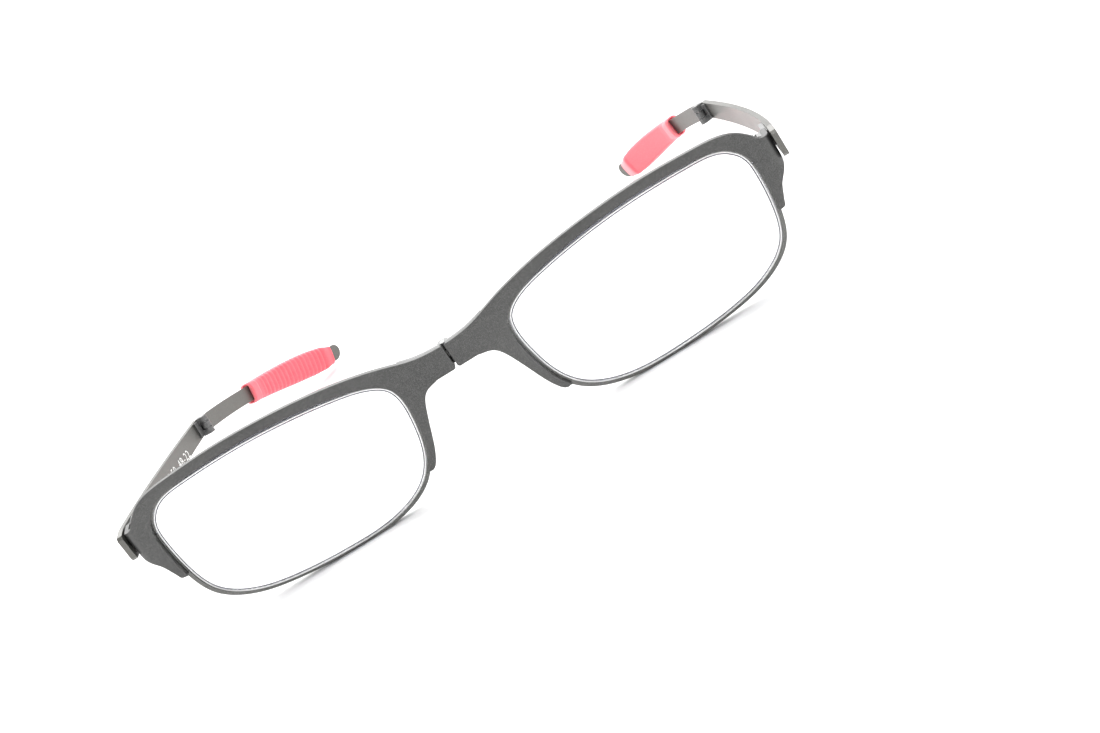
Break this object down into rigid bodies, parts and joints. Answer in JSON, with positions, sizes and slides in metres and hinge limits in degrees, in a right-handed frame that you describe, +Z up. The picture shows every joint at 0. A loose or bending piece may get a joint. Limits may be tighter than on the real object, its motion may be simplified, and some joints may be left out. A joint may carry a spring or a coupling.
{
  "type": "folding reading glasses",
  "caption": "Slim metal reading glasses that fold at the bridge, at the lugs and half way along each temple, with soft ribbed temple sleeves.",
  "frame": {"origin": "middle of the bounding box at the level that the rims and sleeve ends rest on", "axes": "+X to the wearer's left, +Y back along the temples, +Z up; the front faces -Y"},
  "size_m": [0.13, 0.1002, 0.0296],
  "materials": {
    "gunmetal_front": "satin",
    "gunmetal_wire": "satin",
    "temple_metal": "satin",
    "hinge_metal": "satin",
    "steel_screw": "satin",
    "clear_lens": "polished",
    "coral_silicone": "matte"
  },
  "bodies": {
    "left_front": {"left_front_plate": "gunmetal_front", "left_rim": "gunmetal_wire", "left_lens": "clear_lens", "left_rim_lock_upper": "gunmetal_wire", "left_rim_lock_lower": "gunmetal_wire", "left_rim_lock_screw": "steel_screw", "left_bridge_leaf": "hinge_metal", "left_end_hinge": "hinge_metal", "left_temple_screw": "steel_screw", "bridge_pin": "steel_screw"},
    "right_front": {"right_front_plate": "gunmetal_front", "right_rim": "gunmetal_wire", "right_lens": "clear_lens", "right_rim_lock_upper": "gunmetal_wire", "right_rim_lock_lower": "gunmetal_wire", "right_rim_lock_screw": "steel_screw", "right_bridge_leaf": "hinge_metal", "right_end_hinge": "hinge_metal", "right_temple_screw": "steel_screw"},
    "left_temple_front": {"left_temple_leaf": "hinge_metal", "left_temple_front_half": "temple_metal", "left_mid_hinge_fork": "hinge_metal", "left_mid_hinge_pin": "steel_screw"},
    "left_temple_rear": {"left_mid_hinge_tongue": "hinge_metal", "left_temple_rear_half": "temple_metal", "left_sleeve": "coral_silicone"},
    "right_temple_front": {"right_temple_leaf": "hinge_metal", "right_temple_front_half": "temple_metal", "right_mid_hinge_fork": "hinge_metal", "right_mid_hinge_pin": "steel_screw"},
    "right_temple_rear": {"right_mid_hinge_tongue": "hinge_metal", "right_temple_rear_half": "temple_metal", "right_sleeve": "coral_silicone"}
  },
  "joints": [
    {"name": "bridge_fold", "type": "hinge", "parent": "left_front", "child": "right_front", "pos_m": [0, -0.04776, 0.02124], "axis": [0, 0, -1], "range_deg": [0, 36]},
    {"name": "left_temple_fold", "type": "hinge", "parent": "left_front", "child": "left_temple_front", "pos_m": [0.061, -0.04596, 0.02124], "axis": [0, 0, 1], "range_deg": [0, 66]},
    {"name": "right_temple_fold", "type": "hinge", "parent": "right_front", "child": "right_temple_front", "pos_m": [-0.061, -0.04596, 0.02124], "axis": [0, 0, -1], "range_deg": [0, 66]},
    {"name": "left_mid_fold", "type": "hinge", "parent": "left_temple_front", "child": "left_temple_rear", "pos_m": [0.05631, 0.00519, 0.01714], "axis": [-0.0444, 0.15, 0.9877], "range_deg": [0, 162]},
    {"name": "right_mid_fold", "type": "hinge", "parent": "right_temple_front", "child": "right_temple_rear", "pos_m": [-0.05631, 0.00519, 0.01714], "axis": [-0.0444, -0.15, -0.9877], "range_deg": [0, 162]}
  ]
}
